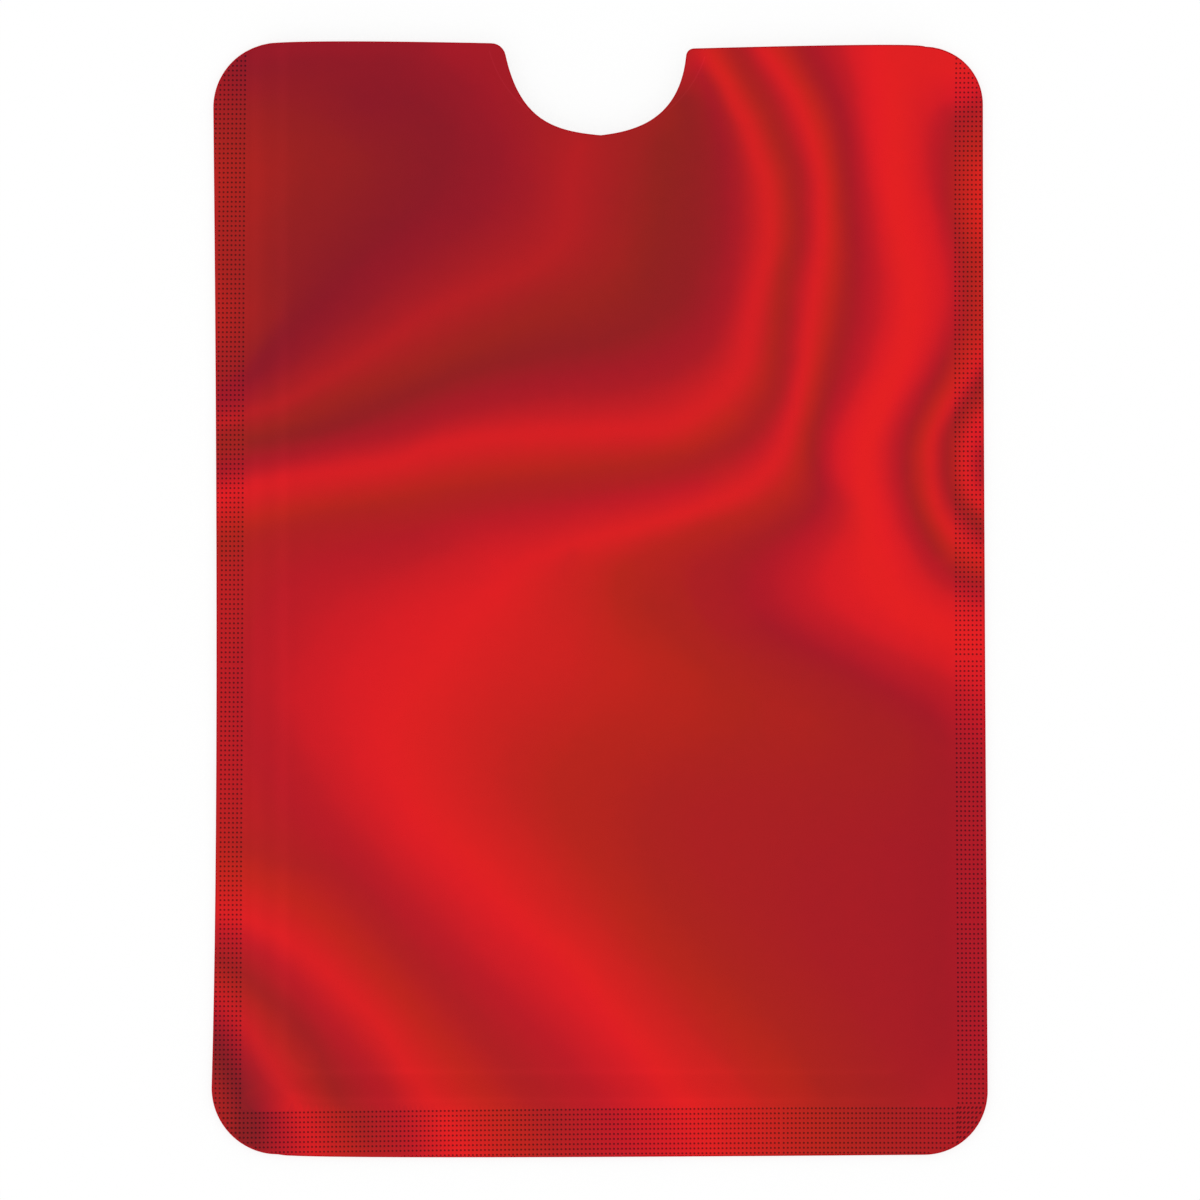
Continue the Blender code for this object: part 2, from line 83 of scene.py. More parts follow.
# Sheen: the bands of light and dusk that the wavy film shows, drawn as strokes.
# Each stroke has a level, a half width and places; between the strokes the level settles evenly.
# Light goes from dusk at 0 to glow at 1, and warmth from crimson at 0 to brown red at 1.
# These bands are painted reflection: they are written into the film's base colour, not made by the lamps.
lightStrokes = {
    "firstRidge": (0.79, 5, [
        (205, 509), (220, 504), (250, 488), (280, 481), (340, 471), (400, 461), (430, 449), (490, 437),
        (550, 434), (610, 431), (670, 427), (692, 416), (722, 394), (742, 369), (751, 320), (762, 272),
        (768, 248), (768, 200), (764, 176), (756, 152), (748, 128), (735, 104), (724, 80), (706, 54)
    ]),
    "firstRidgeEnd": (0.93, 2, [(212, 500), (226, 496), (242, 490)]),
    "firstBrow": (0.4, 0, [
        (205, 474), (250, 464), (300, 453), (350, 441), (400, 430), (450, 413), (500, 401), (560, 392),
        (620, 385), (670, 372), (705, 348), (724, 308), (735, 250), (739, 200), (735, 150), (720, 103),
        (703, 75)
    ]),
    "firstSlope": (0.25, 0, [
        (702, 104), (712, 128), (720, 152), (721, 200), (718, 248), (708, 272), (702, 296), (690, 320)
    ]),
    "firstDusk": (0.17, 4, [
        (250, 442), (280, 437), (310, 431), (340, 424), (370, 412), (400, 399), (430, 385), (470, 369),
        (540, 352), (600, 340), (650, 320), (680, 290), (690, 240), (690, 190), (690, 140), (685, 100)
    ]),
    "firstDuskEnd": (0.31, 1, [(214, 450), (240, 446)]),
    "firstDuskBack": (0.3, 0, [
        (205, 440), (240, 430), (280, 420), (330, 399), (390, 374), (432, 356), (458, 338), (498, 320),
        (532, 302), (580, 284), (604, 266), (620, 248), (619, 230), (617, 205), (626, 180), (630, 158),
        (634, 136), (653, 114)
    ]),
    "firstDuskBlock": (0.16, 4, [(662, 140), (665, 200), (655, 260), (645, 300)]),
    "faintRidge": (0.48, 0, [
        (250, 412), (268, 408), (290, 401), (320, 382), (350, 366), (392, 339), (415, 321), (450, 303),
        (495, 284), (535, 267), (557, 248), (568, 228), (569, 190), (576, 160), (581, 143)
    ]),
    "faintRidgeEnd": (0.57, 1, [(214, 426), (236, 419)]),
    "faintBack": (0.3, 0, [
        (205, 402), (232, 401), (250, 399), (264, 394), (278, 384), (292, 373), (316, 356), (344, 338),
        (370, 320), (393, 302), (418, 284), (448, 266), (474, 248), (496, 230), (518, 212), (527, 190),
        (522, 165), (525, 140), (518, 122), (508, 104), (494, 86), (480, 68), (440, 50)
    ]),
    "duskTop": (0.1, 8, [
        (255, 378), (272, 345), (295, 320), (322, 300), (340, 270), (370, 242), (408, 212), (430, 185),
        (436, 160), (438, 130), (410, 105), (355, 100)
    ]),
    "duskTopBrow": (0.2, 0, [
        (430, 66), (460, 86), (468, 104), (476, 122), (491, 140), (495, 158), (492, 176), (482, 194),
        (478, 212), (456, 230), (428, 248), (405, 266), (380, 284), (370, 302), (342, 320), (321, 338),
        (299, 356), (272, 374), (250, 386)
    ]),
    "duskGlow": (0.46, 1, [(214, 165), (222, 180), (216, 205)]),
    "duskGlowFoot": (0.47, 1, [(214, 285), (221, 310), (217, 340)]),
    "duskGlowMid": (0.33, 0, [
        (220, 120), (234, 140), (256, 158), (263, 176), (255, 194), (249, 212), (244, 240), (233, 266),
        (240, 284), (246, 302), (242, 320), (236, 340), (228, 362)
    ]),
    "duskGlowBrow": (0.2, 0, [
        (268, 104), (292, 120), (325, 141), (342, 158), (330, 178), (302, 194), (290, 212), (282, 232),
        (282, 250), (274, 270), (276, 302), (278, 320), (260, 338), (252, 356), (244, 372)
    ]),
    "cornerTop": (0.31, 1, [(216, 86), (218, 108)]),
    "cornerTopFoot": (0.14, 1, [(240, 66), (262, 76)]),
    "topEdge": (0.2, 2, [(262, 47), (390, 47)]),
    "topEdgeEnd": (0.33, 1, [(450, 48), (485, 48)]),
    "topEdgeFoot": (0.13, 0, [(270, 65), (330, 63), (400, 65)]),
    "betweenFirstSecond": (0.41, 7, [
        (736, 48), (753, 80), (768, 104), (777, 128), (787, 152), (795, 176), (797, 200), (798, 224),
        (796, 248), (788, 272), (785, 296), (784, 320), (782, 344), (780, 368), (775, 392), (764, 413),
        (752, 430), (737, 443), (716, 453), (698, 462)
    ]),
    "betweenFoot": (0.43, 10, [
        (205, 552), (250, 541), (300, 530), (350, 518), (400, 510), (450, 500), (500, 493), (550, 486),
        (600, 479), (650, 471), (690, 464)
    ]),
    "secondRidge": (0.85, 1, [
        (758, 45), (767, 56), (784, 80), (798, 104), (808, 128), (815, 152), (820, 176), (822, 200),
        (822, 224), (821, 248), (817, 272), (814, 296), (810, 320), (807, 344), (804, 368), (798, 392),
        (793, 416), (786, 438), (780, 452), (774, 463), (764, 473), (748, 487), (732, 496), (705, 507),
        (670, 518), (640, 527), (610, 534), (580, 543), (550, 554), (520, 563)
    ]),
    "betweenSecondBroad": (0.38, 6, [
        (800, 40), (810, 58), (818, 72), (823, 82), (830, 92), (836, 104), (840, 120), (843, 132),
        (846, 152), (848, 200), (851, 224), (853, 260), (849, 296), (846, 320), (840, 344), (834, 368),
        (828, 390)
    ]),
    "betweenSecondFoot": (0.36, 3, [
        (824, 402), (818, 420), (813, 440), (813, 456), (817, 476), (820, 494), (812, 509), (800, 518),
        (786, 528), (765, 538), (742, 552), (734, 570), (734, 588)
    ]),
    "rightPatch": (0.39, 8, [(705, 570), (718, 595), (744, 612)]),
    "broadBrow": (0.6, 0, [
        (837, 45), (848, 80), (853, 104), (857, 128), (861, 152), (864, 176), (867, 200), (871, 224),
        (873, 248), (875, 280), (873, 320), (867, 344), (861, 368), (850, 392), (838, 416), (830, 440),
        (829, 464), (832, 480), (839, 498), (839, 512), (834, 521), (825, 536), (806, 553), (796, 570),
        (792, 586), (801, 608), (828, 624), (856, 640), (885, 655), (916, 670), (950, 687), (967, 704),
        (988, 726)
    ]),
    "broadLeft": (0.82, 0, [
        (850, 45), (860, 80), (863, 104), (867, 128), (870, 152), (873, 176), (878, 200), (881, 224),
        (885, 248), (889, 272), (889, 320), (881, 344), (874, 366), (861, 392), (850, 416), (840, 440),
        (839, 464), (844, 480), (851, 496), (855, 513), (853, 532), (842, 546), (832, 565), (828, 582),
        (834, 598), (848, 610), (870, 625), (898, 640), (930, 655), (957, 669), (988, 688)
    ]),
    "broadCore": (0.93, 10, [
        (880, 42), (884, 100), (888, 150), (896, 200), (910, 250), (914, 300), (905, 350), (888, 390),
        (868, 430), (863, 460), (869, 500), (880, 550), (890, 590), (915, 612), (945, 630), (988, 644)
    ]),
    "broadRight": (0.82, 0, [
        (988, 80), (966, 95), (945, 95), (930, 105), (920, 122), (920, 180), (927, 204), (933, 228),
        (936, 252), (942, 278), (940, 300), (936, 324), (927, 348), (919, 366), (911, 382), (900, 400),
        (893, 414), (886, 430), (882, 450), (882, 474), (885, 490), (890, 510), (897, 534), (907, 552),
        (913, 567), (924, 581), (940, 596), (960, 605), (988, 610)
    ]),
    "broadHead": (0.9, 8, [(895, 55), (940, 62), (960, 72)]),
    "broadPool": (0.92, 8, [(868, 560), (880, 590), (905, 600)]),
    "broadFoot": (0.6, 0, [
        (988, 90), (976, 100), (964, 109), (946, 110), (940, 120), (935, 132), (933, 150), (934, 180),
        (937, 204), (943, 228), (949, 252), (953, 276), (953, 300), (948, 324), (939, 348), (930, 366),
        (923, 379), (912, 398), (904, 414), (897, 430), (893, 450), (893, 474), (896, 490), (901, 510),
        (908, 534), (917, 550), (926, 565), (940, 580), (965, 593), (988, 600)
    ]),
    "edgeValley": (0.43, 1, [
        (972, 110), (957, 121), (949, 140), (947, 165), (947, 195), (952, 220), (959, 245), (965, 270),
        (966, 300), (963, 322), (955, 340), (948, 354)
    ]),
    "edgeValleyFoot": (0.38, 2, [
        (946, 358), (938, 376), (929, 392), (922, 406), (915, 420), (909, 438), (906, 455), (906, 475),
        (910, 495), (916, 510), (921, 523), (929, 537), (938, 552)
    ]),
    "edgeValleyEnd": (0.42, 2, [(948, 566), (966, 580), (988, 584)]),
    "edgeLight": (0.88, 2, [(983, 170), (983, 200), (984, 228)]),
    "edgeLightHead": (0.54, 1, [(980, 116), (980, 132)]),
    "edgeLightFoot": (0.62, 1, [(983, 270), (983, 315)]),
    "edgeRing": (0.83, 1, [
        (988, 344), (977, 364), (966, 378), (958, 390), (950, 402), (942, 414), (936, 426), (931, 440),
        (930, 455), (932, 486), (934, 498), (938, 510), (944, 522), (954, 534), (966, 546), (988, 560)
    ]),
    "innerRing": (0.33, 1, [
        (988, 370), (976, 390), (967, 402), (959, 414), (952, 426), (948, 440), (947, 462), (948, 474),
        (950, 486), (954, 498), (962, 510), (975, 522), (988, 536)
    ]),
    "edgeDisc": (0.88, 1, [
        (984, 416), (977, 426), (969, 438), (966, 450), (966, 470), (969, 486), (977, 498), (984, 506)
    ]),
    "edgeDiscHeart": (0.45, 1, [(983, 452), (981, 466), (984, 480)]),
    "poolCore": (0.87, 8, [
        (505, 583), (470, 612), (445, 645), (428, 668), (405, 695), (385, 725), (390, 760), (403, 785),
        (418, 815), (445, 842), (480, 874), (505, 905), (535, 935), (573, 962), (592, 990), (615, 1020),
        (640, 1050), (663, 1080), (690, 1120), (705, 1160)
    ]),
    "poolLeft": (0.82, 0, [
        (495, 560), (484, 580), (436, 600), (397, 620), (386, 640), (366, 660), (350, 682), (350, 702),
        (357, 740), (359, 762), (372, 780), (386, 800), (409, 840), (440, 868), (475, 902), (512, 934),
        (543, 962), (562, 990), (594, 1020), (622, 1050), (650, 1080), (672, 1120)
    ]),
    "poolLeftBrow": (0.7, 0, [
        (500, 541), (454, 560), (412, 580), (373, 600), (340, 619), (328, 640), (314, 660), (303, 682),
        (299, 702), (307, 722), (311, 742), (330, 762), (350, 800), (376, 830), (391, 850), (412, 870),
        (453, 910), (488, 950), (535, 990), (575, 1030), (609, 1070), (626, 1090), (645, 1120)
    ]),
    "poolLeftFoot": (0.53, 0, [
        (447, 541), (392, 560), (350, 568), (315, 580), (290, 600), (279, 620), (269, 645), (260, 680),
        (268, 704), (283, 738), (300, 780), (331, 820), (352, 842), (373, 862), (389, 886), (412, 908),
        (432, 930), (473, 970), (512, 1010), (552, 1050), (585, 1090), (606, 1120)
    ]),
    "poolRight": (0.7, 0, [
        (572, 552), (560, 580), (559, 610), (570, 650), (540, 678), (508, 698), (484, 728), (478, 765),
        (490, 805), (518, 840), (542, 870), (562, 900), (594, 930), (618, 960), (642, 990), (670, 1020),
        (698, 1050), (730, 1080), (755, 1120)
    ]),
    "poolRightMid": (0.6, 0, [
        (654, 540), (626, 555), (603, 572), (600, 600), (614, 645), (630, 672), (590, 704), (530, 740),
        (512, 770), (520, 800), (544, 838), (572, 872), (600, 910), (625, 942), (655, 975), (700, 1030),
        (735, 1065), (765, 1100)
    ]),
    "poolRightFoot": (0.5, 0, [
        (776, 500), (762, 510), (738, 519), (711, 527), (690, 535), (652, 553), (624, 568), (617, 590),
        (626, 620), (660, 650), (684, 675), (690, 700), (668, 718), (620, 730), (580, 752), (556, 785),
        (564, 818), (596, 865), (630, 905), (652, 940), (690, 980), (730, 1020), (780, 1065), (805, 1095)
    ]),
    "rightField": (0.4, 4, [
        (760, 735), (700, 775), (650, 810), (652, 865), (700, 930), (742, 975), (775, 1012), (805, 1050),
        (830, 1100)
    ]),
    "rightFieldBack": (0.42, 6, [(650, 600), (690, 640), (740, 690), (800, 722)]),
    "rightFieldUpper": (0.34, 5, [
        (762, 624), (790, 641), (815, 656), (845, 671), (872, 686), (898, 701), (928, 720), (942, 740)
    ]),
    "rightFieldMid": (0.36, 20, [(840, 800), (830, 900), (860, 1000), (890, 1090)]),
    "rightFieldEdge": (0.33, 4, [(948, 770), (944, 900), (946, 1050)]),
    "rightEdge": (0.42, 6, [(972, 770), (972, 900), (972, 1050), (955, 1130), (900, 1140)]),
    "leftEdge": (0.54, 3, [(217, 560), (220, 600), (220, 700), (220, 800), (218, 836)]),
    "leftField": (0.46, 2, [
        (420, 532), (350, 546), (290, 558), (258, 578), (253, 605), (246, 640), (246, 700), (252, 750),
        (262, 790), (285, 818), (302, 846)
    ]),
    "leftFoot": (0.44, 8, [
        (248, 846), (290, 856), (330, 868), (354, 886), (376, 910), (403, 948), (432, 972), (458, 1002),
        (484, 1032), (508, 1058), (528, 1090), (550, 1125)
    ]),
    "leftFootEdge": (0.6, 1, [(205, 855), (222, 866), (240, 872)]),
    "fourthBrow": (0.55, 0, [
        (255, 874), (300, 890), (335, 915), (368, 950), (404, 990), (432, 1020), (462, 1052), (486, 1084),
        (505, 1110)
    ]),
    "fourthRidge": (0.82, 3, [
        (205, 908), (250, 920), (300, 949), (326, 970), (344, 990), (370, 1012), (388, 1035), (403, 1060),
        (420, 1084), (430, 1098)
    ]),
    "fourthSeal": (0.9, 4, [(438, 1118), (446, 1138), (462, 1165)]),
    "fourthFoot": (0.5, 0, [
        (205, 934), (240, 946), (262, 958), (285, 978), (304, 996), (322, 1016), (338, 1034), (351, 1048),
        (370, 1066), (381, 1084), (390, 1102), (384, 1122), (396, 1140), (400, 1165)
    ]),
    "cornerValley": (0.3, 2, [
        (215, 958), (248, 977), (264, 994), (288, 1012), (304, 1031), (316, 1048), (325, 1066), (333, 1084),
        (342, 1102)
    ]),
    "cornerValleyFoot": (0.37, 2, [(354, 1120), (362, 1138)]),
    "fifthRidge": (0.65, 1, [
        (205, 983), (220, 994), (234, 1012), (249, 1030), (262, 1048), (276, 1066), (283, 1082)
    ]),
    "fifthSeal": (0.78, 3, [(291, 1100), (298, 1120), (304, 1140), (310, 1165)]),
    "cornerDark": (0.04, 4, [(210, 1034), (221, 1054), (231, 1075), (245, 1099), (246, 1120), (249, 1142)]),
    "cornerGlow": (0.36, 1, [(214, 1086), (220, 1106), (229, 1124)]),
}
warmStrokes = {
    "crimsonTop": (0.06, 10, [
        (370, 100), (420, 85), (470, 90), (490, 130), (495, 170), (470, 205), (425, 228), (382, 265),
        (340, 297), (310, 325), (270, 362), (225, 398)
    ]),
    "crimsonTopRim": (0.07, 5, [(240, 62), (300, 50), (380, 48), (450, 50)]),
    "blueTop": (0.23, 3, [(235, 88), (300, 94), (345, 125), (400, 155)]),
    "blueTopFoot": (0.23, 0, [(400, 170), (350, 240), (318, 270), (285, 315), (250, 358)]),
    "brownTopLeft": (0.64, 4, [(210, 150), (240, 160), (232, 185), (215, 200)]),
    "brownTopLeftFoot": (0.6, 4, [(214, 240), (222, 290), (214, 330)]),
    "brownTopLeftMid": (0.52, 2, [
        (215, 122), (262, 130), (300, 160), (285, 200), (262, 240), (255, 290), (242, 335)
    ]),
    "brownTopLeftBrow": (0.4, 0, [
        (210, 105), (260, 105), (320, 130), (362, 165), (340, 190), (310, 225), (282, 260), (280, 300),
        (266, 335), (244, 362), (212, 384)
    ]),
    "notchCrimson": (0.15, 2, [(505, 75), (522, 130), (525, 190), (500, 225)]),
    "notchSlope": (0.3, 0, [
        (543, 130), (556, 190), (538, 232), (478, 272), (420, 314), (360, 348), (305, 378), (262, 396)
    ]),
    "upperBack": (0.42, 0, [
        (595, 138), (602, 180), (598, 215), (578, 240), (550, 262), (510, 290), (460, 311), (400, 343),
        (350, 370), (310, 392), (270, 412), (205, 430)
    ]),
    "upperRidge": (0.62, 4, [
        (675, 110), (665, 150), (655, 200), (645, 240), (625, 284), (590, 300), (540, 316), (490, 340),
        (440, 360), (400, 375), (350, 394), (310, 413), (280, 425), (250, 436), (205, 450)
    ]),
    "upperFoot": (0.4, 0, [
        (695, 85), (703, 120), (703, 200), (695, 250), (681, 290), (662, 322), (620, 341), (570, 347),
        (520, 361), (470, 377), (430, 391), (380, 407), (340, 421), (300, 436), (260, 449), (205, 462)
    ]),
    "crimsonFirst": (0.14, 5, [
        (700, 65), (712, 100), (722, 140), (730, 180), (732, 230), (728, 280), (715, 320), (690, 345),
        (650, 365), (600, 376), (540, 386), (500, 394), (460, 405), (430, 417), (400, 429), (350, 441),
        (310, 454), (250, 463), (205, 474)
    ]),
    "firstBack": (0.4, 0, [
        (704, 70), (720, 95), (735, 118), (750, 150), (761, 200), (764, 260), (759, 340), (744, 370),
        (714, 400), (680, 420), (640, 436), (580, 438), (520, 441), (460, 451), (400, 468), (350, 478),
        (300, 488), (250, 498), (205, 511)
    ]),
    "firstRidge": (0.68, 2, [
        (712, 52), (736, 80), (752, 100), (768, 130), (779, 160), (787, 200), (787, 245), (780, 290),
        (774, 330), (768, 365), (755, 395)
    ]),
    "firstRidgeFoot": (0.74, 3, [
        (735, 415), (700, 441), (660, 457), (620, 465), (570, 468), (520, 470), (470, 479), (430, 489),
        (400, 497), (350, 503), (300, 509), (260, 518), (235, 529), (218, 550)
    ]),
    "firstFront": (0.4, 0, [
        (737, 48), (759, 80), (777, 110), (791, 150), (798, 200), (798, 250), (792, 300), (785, 350),
        (781, 390), (768, 418), (738, 444), (702, 465), (650, 481), (600, 487), (540, 495), (480, 503),
        (420, 518), (360, 525), (300, 535), (255, 555), (240, 590), (233, 640)
    ]),
    "crimsonSecond": (0.22, 1, [
        (746, 45), (767, 82), (784, 108), (795, 130), (805, 154), (809, 180), (809, 240), (804, 280),
        (798, 310), (793, 345), (791, 390), (781, 416), (768, 440), (742, 463)
    ]),
    "crimsonSecondFoot": (0.17, 5, [
        (700, 484), (670, 492), (620, 499), (560, 510), (500, 520), (450, 530), (400, 541), (350, 556),
        (310, 572), (285, 592), (268, 620), (256, 650), (255, 700), (263, 745), (290, 792), (340, 845),
        (380, 888), (420, 925), (450, 952), (490, 987), (540, 1031), (580, 1070), (602, 1105), (622, 1160)
    ]),
    "secondBack": (0.4, 0, [
        (762, 45), (781, 75), (797, 105), (808, 140), (818, 180), (821, 230), (818, 280), (811, 330),
        (803, 385), (794, 430), (784, 458), (764, 480), (730, 496), (690, 511), (640, 522), (600, 535),
        (560, 552), (520, 575), (500, 600)
    ]),
    "secondRidge": (0.71, 2, [
        (772, 45), (785, 58), (801, 80), (813, 104), (822, 128), (829, 152), (834, 180), (834, 262),
        (831, 296), (827, 324), (820, 350), (814, 380), (807, 414), (803, 442), (798, 464), (785, 490),
        (757, 511), (720, 525), (680, 540), (650, 551)
    ]),
    "secondFront": (0.4, 0, [
        (793, 45), (808, 75), (824, 105), (836, 150), (844, 200), (846, 250), (844, 300), (836, 345),
        (824, 400), (815, 440), (810, 479), (800, 505), (775, 525), (735, 545), (700, 562), (690, 590),
        (705, 620), (740, 642), (790, 665), (840, 695), (880, 722), (905, 745), (890, 770), (850, 785)
    ]),
    "poolHead": (0.82, 4, [(625, 566), (618, 590), (625, 615), (645, 640), (680, 660), (705, 678)]),
    "brownPool": (0.77, 12, [
        (735, 705), (690, 716), (650, 726), (600, 744), (566, 765), (562, 790), (577, 830), (594, 868)
    ]),
    "brownPoolFoot": (0.82, 8, [
        (622, 900), (644, 930), (674, 958), (710, 992), (732, 1013), (752, 1042), (790, 1080)
    ]),
    "brownPoolEnd": (0.76, 8, [(810, 1115), (825, 1160)]),
    "poolInner": (0.6, 0, [
        (585, 560), (564, 600), (574, 645), (564, 680), (524, 710), (486, 740), (494, 790), (524, 850),
        (556, 900), (604, 950), (645, 992), (685, 1032), (726, 1082), (757, 1160)
    ]),
    "poolSlope": (0.48, 0, [
        (535, 575), (507, 620), (482, 658), (433, 690), (413, 740), (433, 800), (468, 850), (523, 902),
        (564, 950), (612, 1002), (652, 1052), (691, 1100), (710, 1160)
    ]),
    "poolLeft": (0.3, 0, [
        (500, 560), (430, 588), (395, 630), (362, 680), (350, 740), (370, 780), (400, 820), (450, 870),
        (490, 910), (540, 952), (580, 990), (620, 1040), (650, 1090), (680, 1160)
    ]),
    "fieldBrow": (0.6, 0, [
        (670, 560), (690, 600), (715, 638), (745, 662), (790, 700), (822, 730), (780, 746), (720, 765),
        (672, 776), (652, 800), (662, 850), (700, 892), (732, 940), (780, 992), (820, 1042), (850, 1092),
        (870, 1160)
    ]),
    "fieldSlope": (0.45, 0, [
        (850, 742), (840, 768), (800, 785), (740, 796), (702, 815), (702, 850), (722, 880), (760, 922),
        (800, 970), (840, 1012), (870, 1062), (895, 1102), (910, 1160)
    ]),
    "fieldBlue": (0.28, 4, [
        (900, 800), (850, 840), (815, 870), (815, 930), (850, 982), (890, 1042), (920, 1082), (950, 1130)
    ]),
    "fieldCrimson": (0.17, 8, [(895, 850), (915, 920), (930, 1000), (942, 1060)]),
    "edgeCrimson": (0.09, 5, [(955, 870), (965, 930), (965, 980), (977, 1045)]),
    "edgeCrimsonHead": (0.11, 4, [(975, 750), (972, 800)]),
    "crimsonBroad": (0.07, 5, [
        (812, 45), (827, 72), (842, 110), (852, 142), (857, 180), (860, 230), (864, 290), (860, 330),
        (851, 368), (838, 400), (829, 435), (824, 470), (825, 502), (802, 540), (772, 560), (757, 590),
        (767, 615), (802, 640), (850, 661), (900, 690), (940, 714), (988, 740)
    ]),
    "broadSlope": (0.25, 0, [
        (850, 45), (868, 100), (873, 150), (877, 200), (886, 260), (886, 320), (876, 365), (856, 405),
        (846, 445), (846, 500), (836, 540), (829, 575), (835, 600), (870, 628), (930, 662), (988, 685)
    ]),
    "broadNeutral": (0.44, 6, [
        (895, 50), (896, 120), (897, 250), (913, 290), (903, 350), (875, 420), (863, 470), (866, 540),
        (882, 580), (920, 620), (970, 643)
    ]),
    "topNeutral": (0.43, 4, [(915, 58), (975, 75)]),
    "edgeSlope": (0.27, 0, [
        (988, 84), (950, 82), (927, 108), (920, 160), (927, 220), (936, 280), (929, 335), (912, 370),
        (893, 410), (884, 450), (886, 500), (898, 540), (925, 573), (958, 598), (988, 611)
    ]),
    "crimsonEdge": (0.11, 2, [
        (988, 93), (960, 96), (943, 110), (937, 140), (938, 180), (943, 220), (950, 270), (952, 318),
        (945, 342), (938, 358), (930, 378), (922, 391), (913, 408), (904, 426), (899, 444), (898, 465),
        (899, 500), (907, 520), (914, 534), (925, 552), (939, 570), (952, 584), (988, 601)
    ]),
    "brownEdge": (0.67, 2, [
        (988, 130), (972, 147), (963, 180), (963, 210), (969, 250), (975, 290), (975, 328), (967, 346),
        (959, 366), (953, 379), (946, 390), (938, 403), (930, 417), (922, 434), (919, 455), (920, 490),
        (924, 510), (931, 524), (938, 538), (948, 549), (963, 560), (988, 572)
    ]),
    "crimsonInner": (0.24, 1, [
        (988, 362), (974, 379), (966, 391), (957, 403), (950, 414), (944, 427), (941, 440), (941, 474),
        (945, 490), (950, 508), (959, 521), (970, 534), (988, 547)
    ]),
    "brownInner": (0.55, 1, [
        (988, 384), (976, 402), (968, 414), (960, 426), (955, 440), (954, 456), (956, 480), (960, 498),
        (970, 510), (980, 522)
    ]),
    "crimsonDisc": (0.19, 1, [(981, 426), (977, 438), (976, 452), (980, 474), (980, 487)]),
    "footBrow": (0.42, 0, [
        (205, 800), (240, 815), (290, 852), (340, 892), (380, 930), (412, 965), (450, 1010), (490, 1052),
        (530, 1097), (552, 1130), (570, 1165)
    ]),
    "footRidge": (0.74, 3, [
        (205, 862), (240, 870), (268, 882), (300, 900), (326, 920), (352, 942), (382, 972), (412, 1007),
        (440, 1040), (462, 1070), (485, 1098), (508, 1130), (522, 1160)
    ]),
    "footFront": (0.4, 0, [
        (205, 910), (250, 918), (290, 938), (330, 970), (362, 1010), (392, 1052), (420, 1100), (450, 1160)
    ]),
    "crimsonFoot": (0.19, 2, [
        (205, 930), (250, 941), (282, 967), (310, 1000), (331, 1023), (351, 1056), (371, 1082), (386, 1104),
        (401, 1132), (412, 1160)
    ]),
    "brownCorner": (0.6, 2, [
        (205, 970), (235, 985), (256, 1001), (271, 1021), (286, 1045), (305, 1066), (321, 1087),
        (331, 1110), (341, 1132), (349, 1160)
    ]),
    "crimsonCorner": (0.1, 2, [
        (208, 1002), (222, 1022), (238, 1052), (250, 1081), (262, 1111), (277, 1145)
    ]),
    "cornerEdge": (0.5, 0, [(212, 1062), (220, 1100), (234, 1132)]),
    "leftEdge": (0.33, 2, [(220, 620), (218, 700), (222, 770)]),
}
sheenGrid = {
    "low": (193, 25), "high": (1009, 1177), "step": 3, "coarsest": 12, "rounds": 40,
    "least": 2.6, "stride": 4,  # half width of the thinnest stroke, and how closely its curve is followed
    "blurs": 2, "calmBlurs": 60,
    "footShift": (-6, 0),  # the foot weld shows the bands a little aside
}


def smoothStroke(places):
    p = np.array(places, float)
    p = np.concatenate([[2 * p[0] - p[1]], p, [2 * p[-1] - p[-2]]])
    stretches = []
    for a, b, c, d in zip(p, p[1:], p[2:], p[3:]):
        count = max(int(np.hypot(*(c - b)) / sheenGrid["stride"]), 1)
        t = np.arange(count)[:, None] / count
        curve = 2 * b + (c - a) * t + (2 * a - 5 * b + 4 * c - d) * t ** 2 + (3 * b - a - 3 * c + d) * t ** 3
        stretches.append(curve / 2)
    return np.concatenate(stretches + [p[-2:-1]])


def softened(grid, times):
    for _ in range(times):
        tall = np.pad(grid, ((1, 1), (0, 0)), "edge")
        grid = (tall[:-2] + 2 * tall[1:-1] + tall[2:]) / 4
        wide = np.pad(grid, ((0, 0), (1, 1)), "edge")
        grid = (wide[:, :-2] + 2 * wide[:, 1:-1] + wide[:, 2:]) / 4
    return grid


def settled(level, held):  # the coarse grid first, then finer ones from it
    rows, columns = level.shape
    if min(rows, columns) > sheenGrid["coarsest"]:
        half = ((rows + 1) // 2, (columns + 1) // 2)
        total, count = np.zeros(half), np.zeros(half)
        for i in (0, 1):
            for j in (0, 1):
                part = held[i::2, j::2]
                total[:part.shape[0], :part.shape[1]] += level[i::2, j::2] * part
                count[:part.shape[0], :part.shape[1]] += part
        coarse = settled(total / np.maximum(count, 1), count > 0)
        grid = np.repeat(np.repeat(coarse, 2, 0), 2, 1)[:rows, :columns]
    else:
        grid = np.full(level.shape, level[held].mean())
    for _ in range(sheenGrid["rounds"]):
        wide = np.pad(grid, 1, "edge")
        around = (wide[:-2, 1:-1] + wide[2:, 1:-1] + wide[1:-1, :-2] + wide[1:-1, 2:]) / 4
        grid = np.where(held, level, around)
    return grid


def drawn(strokes):
    low, high, step = sheenGrid["low"], sheenGrid["high"], sheenGrid["step"]
    x, y = np.meshgrid(np.arange(low[0], high[0], step), np.arange(low[1], high[1], step))
    level, closest = np.zeros(x.shape), np.full(x.shape, np.inf)
    for value, half, places in strokes.values():
        squared = np.full(x.shape, np.inf)
        for sx, sy in smoothStroke(places):
            squared = np.minimum(squared, (x - sx) ** 2 + (y - sy) ** 2)
        near = np.sqrt(squared)
        mine = (near < max(half, sheenGrid["least"])) & (near < closest)
        level[mine], closest[mine] = value, near[mine]
    return softened(settled(level, np.isfinite(closest)), sheenGrid["blurs"])


